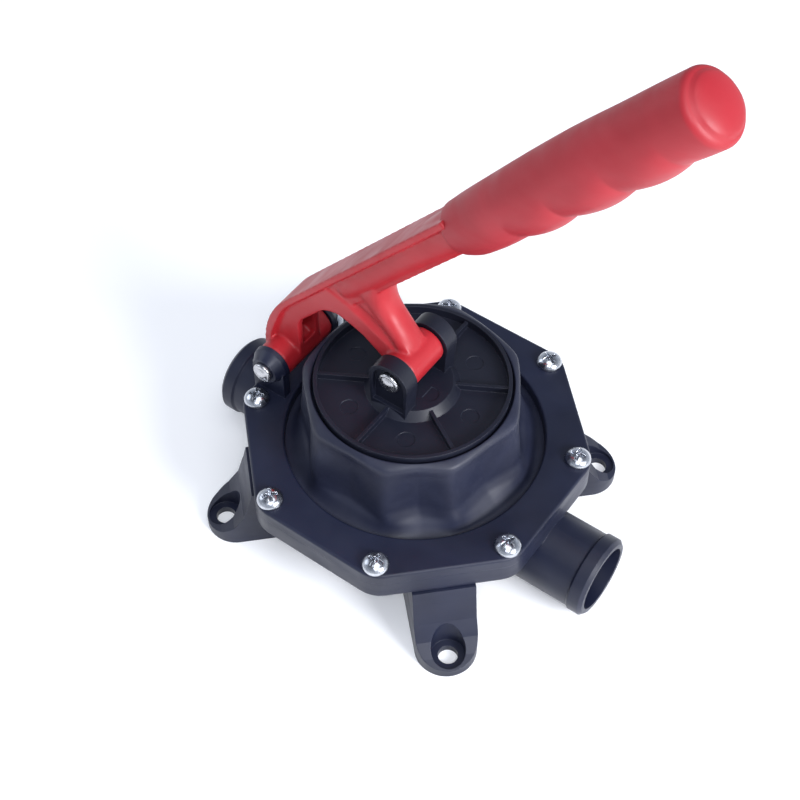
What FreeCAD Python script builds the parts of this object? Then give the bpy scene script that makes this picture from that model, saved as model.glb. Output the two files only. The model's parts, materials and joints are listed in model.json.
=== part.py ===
import FreeCAD, Part
import math
import os
import re

import Sketcher

# Manual diaphragm bilge pump for a 38 mm hose, in millimetres.
# Origin: centre of the base, on the surface it is bolted to. +Z up, +X along the outlet spigot,
# and the lever swings in the XZ plane.

SIZES = (
    # alias, value, meaning
    ("ring_apothem", 76.0, "centre to flat of the octagonal flange"),
    ("ring_corner", 15.0, "radius on the corners of the flange"),
    ("ring_thick", 6.0, "clamp ring"),
    ("ring_opening", 59.5, "radius of the opening in the clamp ring"),
    ("joint_level", 46.0, "height of the joint between body and clamp ring"),
    ("flange_thick", 10.0, "flange of the body"),
    ("edge_round", 1.2, "small rounding of moulded edges"),
    ("screw_circle", 75.0, "radius of the circle of flange screws"),
    ("screw_shank", 3.0, "shank radius of a flange screw"),
    ("screw_head", 6.0, "head radius of a flange screw"),
    ("screw_rise", 4.4, "head height of a flange screw"),
    ("screw_length", 14.0, "shank length of a flange screw"),
    ("bowl_radius", 64.0, "outside of the chamber wall"),
    ("chamber_radius", 58.0, "inside of the chamber wall"),
    ("floor_thick", 4.0, "floor of the chamber"),
    ("bowl_lift", 1.5, "underside of the bowl over the base"),
    ("bowl_foot", 47.0, "radius of the bowl's flat underside"),
    ("spigot_level", 20.4, "height of the spigot axis"),
    ("spigot_reach", 103.3, "centre to the end of a spigot"),
    ("spigot_radius", 18.4, "outside of a spigot"),
    ("spigot_bore", 15.5, "inside of a spigot"),
    ("bead_radius", 19.3, "hose bead at the end of a spigot"),
    ("bead_length", 7.0, "length of the hose bead"),
    ("valve_face", 46.0, "centre to the chamber end of a valve pocket"),
    ("pocket_radius", 17.5, "valve pocket"),
    ("pocket_wall", 19.8, "outside of the boss round a valve pocket"),
    ("outlet_depth", 20.0, "length of the outlet valve pocket"),
    ("seat_thick", 4.0, "valve seat"),
    ("seat_opening", 11.0, "opening in a valve seat"),
    ("flap_radius", 13.2, "rubber flap"),
    ("flap_thick", 1.8, "rubber flap"),
    ("flap_gap", 0.15, "play beside a flap at rest"),
    ("hinge_rise", 11.6, "height of a flap's hinge line over the spigot axis"),
    ("hinge_bead", 1.3, "radius of the bead along a flap's hinge line"),
    ("hinge_bead_half", 6.0, "half length of that bead"),
    ("seat_groove", 1.7, "depth of the seal's groove round a valve seat"),
    ("groove_start", 1.0, "end of a valve seat to its groove"),
    ("groove_wide", 2.0, "groove round a valve seat"),
    ("seal_wire", 0.83, "radius of a seal's section"),
    ("seat_bar_half", 1.0, "half width of the bar across a seat's opening"),
    ("bolt_offset", 64.0, "base bolt from each centre plane"),
    ("bolt_hole", 4.5, "radius of a base bolt hole"),
    ("foot_radius", 14.1, "round end of a foot"),
    ("foot_centre", 85.2, "centre of the round end of a foot"),
    ("foot_tip", 4.5, "height of a foot at its tip"),
    ("foot_seat", 3.6, "floor under a base bolt's head"),
    ("foot_slot", 7.8, "half width of the recess for a base bolt's head"),
    ("fulcrum_reach", 68.0, "fulcrum pin from the centre, towards the inlet"),
    ("fulcrum_level", 68.0, "height of the fulcrum pin"),
    ("yoke_offset", 1.5, "yoke pin from the centre, towards the inlet"),
    ("yoke_level", 101.5, "height of the yoke pin"),
    ("pin_radius", 3.5, "both pins"),
    ("pin_head", 5.0, "head radius of both pins"),
    ("pin_play", 0.06, "radial clearance of a pin in the lever"),
    ("pin_rise", 3.3, "head height of both pins"),
    ("pin_tail", 3.4, "pin past its far ear"),
    ("pin_chamfer", 0.6, "chamfer on a pin's far end"),
    ("clip_start", 0.3, "far ear to the groove of a pin's clip"),
    ("clip_groove", 1.1, "width of that groove"),
    ("clip_depth", 0.8, "depth of that groove"),
    ("clip_thick", 1.0, "snap ring on a pin"),
    ("clip_wide", 2.2, "snap ring over its pin"),
    ("barrel_radius", 8.9, "barrels at the ends of the lever's legs"),
    ("leg_reach", 9.8, "fulcrum axis to the outer corner of the fulcrum leg"),
    ("fulcrum_gap", 16.6, "centre plane to the inside of a fulcrum ear"),
    ("yoke_gap", 11.0, "centre plane to the inside of a yoke ear"),
    ("side_play", 0.4, "play between a barrel's end and its ear"),
    ("ear_radius", 9.6, "root radius of a fulcrum ear's boss"),
    ("ear_nose", 6.6, "nose radius of a fulcrum ear's boss"),
    ("ear_length", 6.8, "length of a fulcrum ear's boss"),
    ("yoke_ear", 10.1, "radius of a yoke ear"),
    ("yoke_ear_thick", 5.6, "thickness of a yoke ear under its pin's head"),
    ("yoke_ear_rim", 2.0, "rim that frames the outer face of a yoke ear"),
    ("yoke_ear_foot", 9.0, "half width of a yoke ear at the pan's floor"),
    ("plate_radius", 43.8, "top plate"),
    ("plate_rim_level", 87.4, "top of the top plate's rim"),
    ("plate_depth", 4.5, "depth of the top plate's pan"),
    ("plate_thick", 2.6, "floor of the top plate"),
    ("plate_wall", 1.7, "rim wall of the top plate"),
    ("hub_radius", 18.0, "top of the top plate's hub"),
    ("hub_foot", 21.3, "hub where it meets the pan's floor"),
    ("hub_rise", 3.9, "hub over the pan's floor"),
    ("mark_radius", 4.0, "round ejector marks in the pan"),
    ("mark_circle", 30.5, "radius of the circle of ejector marks"),
    ("mark_depth", 0.35, "depth of an ejector mark"),
    ("hub_mark_x", 11.0, "ejector mark on the hub, from the middle towards the outlet"),
    ("hub_mark_y", 2.5, "ejector mark on the hub, from the lever's plane"),
    ("rib_thick", 1.6, "ribs of the top plate"),
    ("rubber_thick", 2.2, "diaphragm"),
    ("rubber_gap", 0.3, "play between the diaphragm and what it passes"),
    ("rim_radius", 68.0, "outer edge of the diaphragm"),
    ("crown_radius", 44.0, "flat top of the diaphragm"),
    ("skirt_top", 47.5, "skirt of the diaphragm under its shoulder"),
    ("skirt_middle", 54.0, "skirt of the diaphragm, halfway down"),
    ("skirt_foot", 57.4, "skirt of the diaphragm where it meets the rim"),
    ("centre_hole", 15.6, "hole in the middle of the diaphragm"),
    ("spigot_hub", 10.5, "clamp plate's hub, up through the diaphragm"),
    ("stroke_gap", 1.2, "room between the rubber and the clamp plate, for the lever's arc"),
    ("clamp_radius", 34.0, "clamp plate under the diaphragm"),
    ("clamp_thick", 3.5, "clamp plate under the diaphragm"),
    ("plate_screw", 2.0, "shank radius of a screw of the clamp plate"),
    ("plate_screw_head", 3.8, "head radius of a screw of the clamp plate"),
    ("plate_screw_rise", 2.4, "head height of a screw of the clamp plate"),
    ("plate_screw_length", 11.0, "shank length of a screw of the clamp plate"),
    ("plate_screw_circle", 7.5, "radius of the circle of the clamp plate's screws"),
    ("bar_screw", 0.8, "shank radius of a screw of a flap's bar"),
    ("bar_screw_reach", 3.2, "screw of a flap's bar from the middle of the bar"),
    ("bar_rise", 2.6, "height of a flap's bar"),
    ("bar_half", 5.2, "half length of a flap's bar"),
    ("bar_gap", 0.3, "play between a flap's bead and its bar"),
    ("bar_thick", 2.0, "thickness of a flap's bar"),
    ("lever_slope", 49.5, "slope of the lever's handle, in degrees"),
    ("arm_depth", 16.0, "arm, seen from the side"),
    ("arm_top", 21.7, "fulcrum axis to the top of the arm, square to it"),
    ("arm_half", 10.2, "half width of the arm"),
    ("arm_flange", 3.2, "flange along the top of the arm"),
    ("stem_half", 6.6, "half width of the arm under its flange"),
    ("arch_crown", 9.6, "fulcrum axis to the crown of the arch between the legs, square to the arm"),
    ("arch_radius", 13.0, "curve at each side of the arch"),
    ("hollow_half", 4.2, "half width of the hollow inside the fulcrum leg"),
    ("panel_half", 7.4, "half thickness of the panel between the arm's flange and the arch"),
    ("web_half", 3.6, "half thickness of the yoke leg in its groove"),
    ("rib_half", 6.2, "half thickness of the rib along the yoke leg"),
    ("hook_radius", 55.0, "outer curve of the fulcrum leg"),
    ("grip_start", 156.0, "along the handle, fulcrum end of its slope line to the grip"),
    ("grip_length", 134.0, "hand grip"),
    ("tang_radius", 7.5, "round tang inside the grip"),
    ("tang_length", 120.0, "round tang inside the grip"),
    ("grip_radius", 14.0, "hand grip at its middle"),
)
ALIASES = {alias for alias, _, _ in SIZES}
FULL_TURN = 360
SCREW_COUNT = 8
PLATE_SCREW_COUNT = 4
RIB_COUNT = 6


def bound(expression):
    """The expression with every alias written as a cell of the sheet."""
    def cell(match):
        word = match.group(0)
        return "Sizes." + word if word in ALIASES else word
    return re.sub(r"[A-Za-z_]\w*", cell, str(expression))


def make_sheet(doc):
    """The driving dimensions, one row each: meaning, value."""
    sheet = doc.addObject("Spreadsheet::Sheet", "Sizes")
    for row, (alias, value, meaning) in enumerate(SIZES, start=1):
        sheet.set(f"A{row}", meaning)
        sheet.set(f"B{row}", str(value))
        sheet.setAlias(f"B{row}", alias)
    doc.recompute()
    return sheet


class Piece:
    """One named piece: a PartDesign body whose features are bound to the sheet."""

    def __init__(self, doc, name):
        self.doc = doc
        self.body = doc.addObject("PartDesign::Body", name)
        self.body.Label = name

    def place(self, x="0", y="0", z="0", axis="vector(0; 1; 0)", angle="0"):
        """Where the piece sits, as expressions."""
        base = bound(f"vector({x}; {y}; {z})")
        turn = f"rotation({axis}; {bound(angle)})"
        self.body.setExpression("Placement", f"placement({base}; {turn})")

    def sketch(self, name, plane, height="0", turn=0.0):
        """An empty sketch on an origin plane, raised along its normal and turned about its Y."""
        sketch = self.body.newObject("Sketcher::SketchObject", name)
        origin = next(f for f in self.body.Origin.OriginFeatures if f.Role == plane + "_Plane")
        sketch.AttachmentSupport = [(origin, "")]
        sketch.MapMode = "FlatFace"
        turned = FreeCAD.Rotation(FreeCAD.Vector(0, 1, 0), turn)
        sketch.AttachmentOffset = FreeCAD.Placement(FreeCAD.Vector(), turned)
        for axis, share in zip("xyz", turned.multVec(FreeCAD.Vector(0, 0, 1))):
            sketch.setExpression("AttachmentOffset.Base." + axis, f"({bound(height)}) * {share:.12f}")
        return sketch

    def circle(self, sketch, radius, x="0", y="0"):
        """A circle held by its radius and the two distances of its centre."""
        start = FreeCAD.Vector(1, 1, 0)
        index = sketch.addGeometry(Part.Circle(start, FreeCAD.Vector(0, 0, 1), 1), False)
        drive(sketch, Sketcher.Constraint("Radius", index, 1), radius)
        hold_point(sketch, index, 3, start, x, y)

    def outline(self, sketch, corners):
        """A closed outline of straight sides, each corner held by its two distances."""
        first = sketch.GeometryCount
        count = len(corners)
        rough = [FreeCAD.Vector(math.cos(2 * math.pi * k / count), math.sin(2 * math.pi * k / count), 0)
                 for k in range(count)]
        for k in range(count):
            sketch.addGeometry(Part.LineSegment(rough[k], rough[(k + 1) % count]), False)
        for k in range(count):
            sketch.addConstraint(Sketcher.Constraint("Coincident", first + k, 2, first + (k + 1) % count, 1))
        for k, (x, y) in enumerate(corners):
            hold_point(sketch, first + k, 1, rough[k], x, y)

    def axis_line(self, sketch, start, end):
        """A construction line to turn a profile about; it has to be the sketch's first one."""
        rough = (FreeCAD.Vector(0, 0, 0), FreeCAD.Vector(1, 1, 0))
        index = sketch.addGeometry(Part.LineSegment(*rough), True)
        for point, place, near in ((1, start, rough[0]), (2, end, rough[1])):
            hold_point(sketch, index, point, near, *place)

    def feature(self, kind, name, sketch, **settings):
        """A sketch-based feature; text settings are expressions."""
        before = self.body.Tip.Shape.Volume if kind in ("Pocket", "Groove") else None
        feature = self.body.newObject("PartDesign::" + kind, name)
        feature.Profile = sketch
        for key, value in settings.items():
            if isinstance(value, str) and key in ("Length", "Angle"):
                feature.setExpression(key, bound(value))
            else:
                setattr(feature, key, value)
        self.body.Tip = feature
        self.doc.recompute()
        if before is not None and feature.Shape.Volume > before - 1e-3:
            raise RuntimeError(f"{self.body.Label}: {name} removed nothing")
        return feature

    def pad(self, name, sketch, length, **settings):
        return self.feature("Pad", name, sketch, Length=length, **settings)

    def pocket(self, name, sketch, length, **settings):
        return self.feature("Pocket", name, sketch, Length=length, **settings)

    def bore(self, name, sketch):
        """A pocket right through, both ways from the sketch."""
        return self.feature("Pocket", name, sketch, Type="ThroughAll", Midplane=True)

    def turned(self, name, sketch, kind="Revolution", axis="V_Axis"):
        """A profile turned a full circle about one of the sketch's axes."""
        return self.feature(kind, name, sketch, ReferenceAxis=(sketch, [axis]), Angle=float(FULL_TURN))

    def repeat(self, name, features, count):
        """The features repeated evenly about the body's Z axis."""
        pattern = self.body.newObject("PartDesign::PolarPattern", name)
        pattern.Originals = features
        z_axis = next(f for f in self.body.Origin.OriginFeatures if f.Role == "Z_Axis")
        pattern.Axis = (z_axis, [""])
        pattern.Angle = float(FULL_TURN)
        pattern.Occurrences = count
        self.body.Tip = pattern
        self.doc.recompute()
        return pattern

    def dress(self, kind, name, size, chosen):
        """A fillet or chamfer on the edges of the tip that the test picks."""
        base = self.body.Tip
        names = [f"Edge{k}" for k, edge in enumerate(base.Shape.Edges, start=1) if chosen(edge)]
        if not names:
            raise RuntimeError(f"{self.body.Label}: {name} found no edges")
        dressed = self.body.newObject("PartDesign::" + kind, name)
        dressed.Base = (base, names)
        dressed.setExpression("Radius" if kind == "Fillet" else "Size", bound(size))
        self.body.Tip = dressed
        self.doc.recompute()
        return dressed


def drive(sketch, constraint, expression):
    index = sketch.addConstraint(constraint)
    sketch.setExpression(f"Constraints[{index}]", bound(expression))


def hold_point(sketch, index, point, near, x, y):
    """Hold one point of a piece of geometry at x, y from the sketch's origin."""
    drive(sketch, Sketcher.Constraint("DistanceX", -1, 1, index, point, near.x), x)
    drive(sketch, Sketcher.Constraint("DistanceY", -1, 1, index, point, near.y), y)


def along(edge, axis):
    """Whether an edge is straight and parallel to an axis."""
    if not isinstance(edge.Curve, Part.Line):
        return False
    return abs(abs(edge.Curve.Direction.dot(axis)) - 1) < 1e-6


def level(edge, height):
    """Whether an edge lies flat at a height."""
    box = edge.BoundBox
    return abs(box.ZMin - height) < 1e-4 and abs(box.ZMax - height) < 1e-4


X_AXIS, Y_AXIS, Z_AXIS = FreeCAD.Vector(1, 0, 0), FreeCAD.Vector(0, 1, 0), FreeCAD.Vector(0, 0, 1)
OCTAGON = [(f"ring_apothem / cos(22.5) * cos({22.5 + 45 * k})",
            f"ring_apothem / cos(22.5) * sin({22.5 + 45 * k})") for k in range(8)]
FIRST_SCREW = 22.5
FIRST_FOOT = 45.0
# underside of a flap's bar over the spigot axis
BAR_FOOT = "(hinge_rise + hinge_bead + bar_gap)"


def octagon_pad(piece, name, base, thick):
    sketch = piece.sketch(name + "_outline", "XY", base)
    piece.outline(sketch, OCTAGON)
    piece.pad(name, sketch, thick)
    piece.dress("Fillet", name + "_corners", "ring_corner", lambda edge: along(edge, Z_AXIS))


def pump_body(doc, size):
    """Bowl with its flange, two hose spigots, four feet and the pockets for the two valves."""
    piece = Piece(doc, "pump_body")
    octagon_pad(piece, "flange", "joint_level - flange_thick", "flange_thick")
    bottom = size("joint_level") - size("flange_thick")
    piece.dress("Fillet", "flange_edge", "edge_round", lambda edge: level(edge, bottom))
    sketch = piece.sketch("bowl_section", "XZ")
    piece.outline(sketch, [("0", "bowl_lift"), ("bowl_foot", "bowl_lift"), ("bowl_radius - 6", "bowl_lift + 7"),
                           ("bowl_radius", "bowl_lift + 20"), ("bowl_radius", "joint_level - flange_thick / 2"),
                           ("0", "joint_level - flange_thick / 2")])
    piece.turned("bowl", sketch)
    feet(piece)

    sketch = piece.sketch("spigot_profile", "XZ")
    piece.axis_line(sketch, ("-1", "spigot_level"), ("1", "spigot_level"))
    end = [("spigot_reach", "0"), ("spigot_reach", "bead_radius - 1.6"), ("spigot_reach - 1.6", "bead_radius"),
           ("spigot_reach - bead_length", "bead_radius"), ("spigot_reach - bead_length - 1", "spigot_radius")]
    half = [(x, f"spigot_level + {r}") for x, r in end]
    mirrored = [(f"-({x})", z) for x, z in reversed(half)]
    piece.outline(sketch, half + mirrored)
    piece.turned("spigots", sketch, axis="Axis0")

    sketch = piece.sketch("chamber_section", "XZ")
    floor = "bowl_lift + floor_thick"
    piece.outline(sketch, [("0", floor), ("bowl_foot - 2", floor), ("chamber_radius - 5", f"{floor} + 5"),
                           ("chamber_radius", f"{floor} + 17"), ("chamber_radius", "joint_level + 1"),
                           ("0", "joint_level + 1")])
    piece.turned("chamber", sketch, "Groove")
    sketch = piece.sketch("recess_circle", "XY", "joint_level")
    piece.circle(sketch, "rim_radius + 1")
    piece.pocket("rim_recess", sketch, "rubber_thick + 0.2")
    valve_pocket(piece, "inlet", -1, "seat_thick")
    valve_pocket(piece, "outlet", 1, "outlet_depth")
    sketch = piece.sketch("bore_circle", "YZ")
    piece.circle(sketch, "spigot_bore", "0", "spigot_level")
    piece.bore("spigot_bores", sketch)

    sketch = piece.sketch("pilot_hole", "XY", "joint_level")
    piece.circle(sketch, "screw_shank", "screw_circle * cos(22.5)", "screw_circle * sin(22.5)")
    pilot = piece.pocket("pilot", sketch, "screw_length - ring_thick + 1")
    piece.repeat("pilots", [pilot], SCREW_COUNT)


def feet(piece):
    """Four lugs that slope down from the flange, each with a recess for a bolt head."""
    out = "sin(45)"
    underside = "joint_level - flange_thick"
    sketch = piece.sketch("foot_round", "XY")
    piece.circle(sketch, "foot_radius", f"foot_centre * {out}", f"foot_centre * {out}")
    end = piece.pad("foot_end", sketch, underside)
    sketch = piece.sketch("foot_side", "XZ", turn=FIRST_FOOT)
    piece.outline(sketch, [("bowl_foot - 8", "0"), ("foot_centre", "0"),
                           ("foot_centre", underside), ("bowl_foot - 8", underside)])
    lug = piece.pad("foot_lug", sketch, "2 * foot_radius", Midplane=True)

    reach = "foot_centre + foot_radius"
    sketch = piece.sketch("foot_slope_side", "XZ", turn=FIRST_FOOT)
    piece.outline(sketch, [
        (f"{reach} + 1", "foot_tip"), (reach, "foot_tip"), (f"{reach} - 6", "foot_tip + 2.4"),
        (f"{reach} - 12", "foot_tip + 7"), (f"{reach} - 17", "foot_tip + 14"),
        (f"{reach} - 20.5", f"{underside} - 6"), (f"{reach} - 22", underside), (f"{reach} + 1", underside)])
    slope = piece.pocket("foot_slope", sketch, "2 * foot_radius + 2", Midplane=True)

    sketch = piece.sketch("foot_recess_round", "XY", underside)
    piece.circle(sketch, "foot_slot", "bolt_offset", "bolt_offset")
    recess = piece.pocket("foot_recess", sketch, f"{underside} - foot_seat")
    sketch = piece.sketch("foot_hole_round", "XY", "foot_seat")
    piece.circle(sketch, "bolt_hole", "bolt_offset", "bolt_offset")
    hole = piece.pocket("foot_hole", sketch, "foot_seat")
    piece.repeat("feet", [end, lug, slope, recess, hole], 4)


def valve_pocket(piece, name, side, depth):
    """A boss on the chamber's inner wall and the pocket in it, on the side that side gives."""
    face = f"{side} * valve_face"
    sketch = piece.sketch(name + "_boss_circle", "YZ", face)
    piece.circle(sketch, "pocket_wall", "0", "spigot_level")
    piece.pad(name + "_boss", sketch, "bowl_radius - valve_face - 2", Reversed=side < 0)
    sketch = piece.sketch(name + "_pocket_circle", "YZ", face)
    piece.circle(sketch, "pocket_radius", "0", "spigot_level")
    piece.pocket(name + "_pocket", sketch, depth, Reversed=side > 0)


def clamp_ring(doc, size):
    """Octagonal ring over the diaphragm's rim, with the two ears of the lever's fulcrum."""
    piece = Piece(doc, "clamp_ring")
    octagon_pad(piece, "ring", "joint_level", "ring_thick")
    top = size("joint_level") + size("ring_thick")
    sketch = piece.sketch("opening_circle", "XY", "joint_level + ring_thick")
    piece.circle(sketch, "ring_opening")
    piece.pocket("opening", sketch, "ring_thick")
    piece.dress("Fillet", "ring_edge", "edge_round", lambda edge: level(edge, top))

    sketch = piece.sketch("ear_foot", "XZ")
    half = "ear_radius * 0.93"
    base = "joint_level + ring_thick / 2"
    piece.outline(sketch, [(f"-fulcrum_reach - {half}", base), (f"-fulcrum_reach + {half}", base),
                           (f"-fulcrum_reach + {half}", "fulcrum_level"),
                           (f"-fulcrum_reach - {half}", "fulcrum_level")])
    piece.pad("ear_block", sketch, "2 * (fulcrum_gap + ear_length * 0.62)", Midplane=True)
    for side, name in ((-1, "near"), (1, "far")):
        sketch = piece.sketch(name + "_boss_profile", "XY", "fulcrum_level")
        inner, outer = f"{side} * fulcrum_gap", f"{side} * (fulcrum_gap + ear_length)"
        step = f"{side} * (fulcrum_gap + ear_length * 0.35)"
        piece.axis_line(sketch, ("-fulcrum_reach", "-1"), ("-fulcrum_reach", "1"))
        piece.outline(sketch, [("-fulcrum_reach", inner), ("-fulcrum_reach + ear_radius", inner),
                               ("-fulcrum_reach + ear_radius * 0.97", step),
                               ("-fulcrum_reach + ear_nose", outer), ("-fulcrum_reach", outer)])
        piece.turned(name + "_boss", sketch, axis="Axis0")
    sketch = piece.sketch("lever_slot_side", "XZ")
    gap = "ear_radius * 1.4"
    piece.outline(sketch, [(f"-fulcrum_reach - {gap}", "joint_level + ring_thick"),
                           (f"-fulcrum_reach + {gap}", "joint_level + ring_thick"),
                           (f"-fulcrum_reach + {gap}", "fulcrum_level + ear_radius * 1.2"),
                           (f"-fulcrum_reach - {gap}", "fulcrum_level + ear_radius * 1.2")])
    piece.pocket("lever_slot", sketch, "2 * fulcrum_gap", Midplane=True)
    sketch = piece.sketch("pin_circle", "XZ")
    piece.circle(sketch, "pin_radius", "-fulcrum_reach", "fulcrum_level")
    piece.bore("pin_hole", sketch)

    sketch = piece.sketch("screw_circle_hole", "XY", "joint_level + ring_thick")
    piece.circle(sketch, "screw_shank", "screw_circle * cos(22.5)", "screw_circle * sin(22.5)")
    hole = piece.pocket("screw_hole", sketch, "ring_thick")
    piece.repeat("screw_holes", [hole], SCREW_COUNT)


def pan_screws(doc, label, centre, count, sizes, seat, upward, shift="0"):
    """A ring of cross-recessed screws: shank radius, head radius, head height and length."""
    shank, head, rise, length = sizes
    way = "1" if upward else "-1"
    piece = Piece(doc, label)
    piece.place(x=shift)
    sketch = piece.sketch("screw_profile", "XZ", turn=FIRST_SCREW)
    piece.axis_line(sketch, (centre, "-1"), (centre, "1"))
    steps = [("0", f"-({length})"), (f"{shank} - 0.5", f"-({length})"), (shank, f"1 - ({length})"),
             (shank, "0"),
             (head, "0"), (head, f"{rise} * 0.3"), (f"{head} * 0.86", f"{rise} * 0.72"),
             (f"{head} * 0.5", rise), ("0", rise)]
    piece.outline(sketch, [(f"{centre} + {x}", f"{seat} + {way} * ({z})") for x, z in steps])
    cuts = [piece.turned("screw", sketch, axis="Axis0")]
    for slot, wide, deep in (("slot_one", f"{head} * 0.5", f"{head} * 0.09"),
                             ("slot_two", f"{head} * 0.09", f"{head} * 0.5")):
        sketch = piece.sketch(slot, "XZ", turn=FIRST_SCREW)
        low, high = f"{seat} + {way} * {rise} * 0.35", f"{seat} + {way} * ({rise} + 1)"
        piece.outline(sketch, [(f"{centre} - {wide}", low), (f"{centre} + {wide}", low),
                               (f"{centre} + {wide}", high), (f"{centre} - {wide}", high)])
        cuts.append(piece.pocket(slot + "_cut", sketch, f"2 * {deep}", Midplane=True))
    piece.repeat("screws", cuts, count)


def diaphragm(doc):
    """Deep-drawn rubber cup: flat under the top plate, a skirt, and a rim held by the clamp ring."""
    piece = Piece(doc, "diaphragm")
    top = "plate_rim_level - plate_depth - plate_thick - rubber_gap"
    rim = "joint_level - 0.1"
    skin = "rubber_thick"
    sketch = piece.sketch("section", "XZ")
    piece.outline(sketch, [
        ("centre_hole", top), ("crown_radius", top), ("skirt_top", f"{top} - 4"),
        ("skirt_middle", f"{top} - 17"), ("skirt_foot", f"{rim} + 6"), ("skirt_foot", rim),
        ("rim_radius", rim), ("rim_radius", f"{rim} - {skin}"), (f"skirt_foot - {skin}", f"{rim} - {skin}"),
        (f"skirt_foot - {skin}", f"{rim} + 5.5"), (f"skirt_middle - {skin}", f"{top} - 17.5"),
        (f"skirt_top - {skin}", f"{top} - 5"), ("crown_radius - 0.5", f"{top} - {skin}"),
        ("centre_hole", f"{top} - {skin}")])
    piece.turned("cup", sketch)


def top_plate(doc):
    """Ribbed pan over the diaphragm, with a hub and the two ears of the yoke."""
    piece = Piece(doc, "top_plate")
    piece.place(x="-yoke_offset")
    rim, floor = "plate_rim_level", "plate_rim_level - plate_depth"
    hub_top = f"{floor} + hub_rise"
    sketch = piece.sketch("pan_section", "XZ")
    piece.outline(sketch, [
        ("0", f"{floor} - plate_thick"), ("plate_radius - 2.5", f"{floor} - plate_thick"),
        ("plate_radius", f"{floor} - plate_thick + 2.5"), ("plate_radius", rim),
        ("plate_radius - plate_wall", rim), ("plate_radius - plate_wall", floor),
        ("hub_foot", floor), ("hub_radius", hub_top), ("0", hub_top)])
    piece.turned("pan", sketch)
    sketch = piece.sketch("rib_side", "XZ", turn=30.0)
    piece.outline(sketch, [("hub_radius - 2", f"{floor} - 1"), ("plate_radius - 1", f"{floor} - 1"),
                           ("plate_radius - 1", f"{rim} - 1.4"), ("hub_radius - 2", f"{rim} - 1.4")])
    rib = piece.pad("rib", sketch, "rib_thick", Midplane=True)
    sketch = piece.sketch("mark_circle", "XY", floor)
    piece.circle(sketch, "mark_radius", "mark_circle")
    mark = piece.pocket("mark", sketch, "mark_depth")
    piece.repeat("ribs", [rib, mark], RIB_COUNT)
    sketch = piece.sketch("hub_mark_circle", "XY", hub_top)
    piece.circle(sketch, "mark_radius", "hub_mark_x", "-hub_mark_y")
    piece.pocket("hub_mark", sketch, "mark_depth")
    yoke_ears(piece, f"{floor} - 1", hub_top)
    plate_holes(piece, f"{floor} - plate_thick", "plate_screw_length - clamp_thick - 2", reverse=True)


def yoke_ears(piece, low, hub_top):
    """The two ears of the yoke, each an arch whose rim stands proud of its outer face."""
    sketch = piece.sketch("ear_round", "XZ")
    piece.circle(sketch, "yoke_ear", "0", "yoke_level")
    across = "2 * (yoke_gap + yoke_ear_thick + yoke_ear_rim)"
    piece.pad("ear_rounds", sketch, across, Midplane=True)
    sketch = piece.sketch("ear_web", "XZ")
    piece.outline(sketch, [("-yoke_ear_foot", low), ("yoke_ear_foot", low),
                           ("yoke_ear * 0.99", "yoke_level - 1"),
                           ("-yoke_ear * 0.99", "yoke_level - 1")])
    piece.pad("ear_webs", sketch, across, Midplane=True)
    inside = "yoke_ear - yoke_ear_rim"
    face = "(yoke_gap + yoke_ear_thick)"
    for side, name in ((-1, "near"), (1, "far")):
        sketch = piece.sketch(name + "_face_side", "XZ", f"{-side} * {face}")
        piece.outline(sketch, [(f"-({inside})", hub_top), (inside, hub_top), (inside, "yoke_level"),
                               (f"-({inside})", "yoke_level")])
        piece.pocket(name + "_face", sketch, "yoke_ear_rim + 1", Reversed=side < 0)
        sketch = piece.sketch(name + "_face_round", "XZ", f"{-side} * {face}")
        piece.circle(sketch, inside, "0", "yoke_level")
        piece.pocket(name + "_face_arch", sketch, "yoke_ear_rim + 1", Reversed=side < 0)
    sketch = piece.sketch("yoke_gap_side", "XZ")
    high, wide = "yoke_level + yoke_ear + 1", "yoke_ear + 6"
    piece.outline(sketch, [(f"-({wide})", hub_top), (wide, hub_top), (wide, high), (f"-({wide})", high)])
    piece.pocket("yoke_gap_cut", sketch, "2 * yoke_gap", Midplane=True)
    sketch = piece.sketch("pin_circle", "XZ")
    piece.circle(sketch, "pin_radius", "0", "yoke_level")
    piece.bore("pin_hole", sketch)


def plate_holes(piece, start, depth, reverse=False):
    """The holes of the screws that hold the clamp plate to the top plate."""
    sketch = piece.sketch("screw_hole_circle", "XY", start)
    piece.circle(sketch, "plate_screw", "plate_screw_circle * cos(22.5)", "plate_screw_circle * sin(22.5)")
    hole = piece.pocket("screw_hole", sketch, depth, Reversed=reverse)
    piece.repeat("screw_holes", [hole], PLATE_SCREW_COUNT)


def clamp_plate(doc):
    """Round plate under the diaphragm, with a hub up through it to the top plate."""
    piece = Piece(doc, "clamp_plate")
    piece.place(x="-yoke_offset")
    touch = "plate_rim_level - plate_depth - plate_thick"
    upper = f"{touch} - rubber_thick - stroke_gap"
    sketch = piece.sketch("section", "XZ")
    piece.outline(sketch, [("0", f"{upper} - clamp_thick"), ("clamp_radius - 2", f"{upper} - clamp_thick"),
                           ("clamp_radius", f"{upper} - 1"), ("clamp_radius - 1", upper), ("spigot_hub", upper),
                           ("spigot_hub", touch), ("0", touch)])
    piece.turned("plate", sketch)
    plate_holes(piece, touch, "clamp_thick + rubber_thick + stroke_gap + 1")


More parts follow.
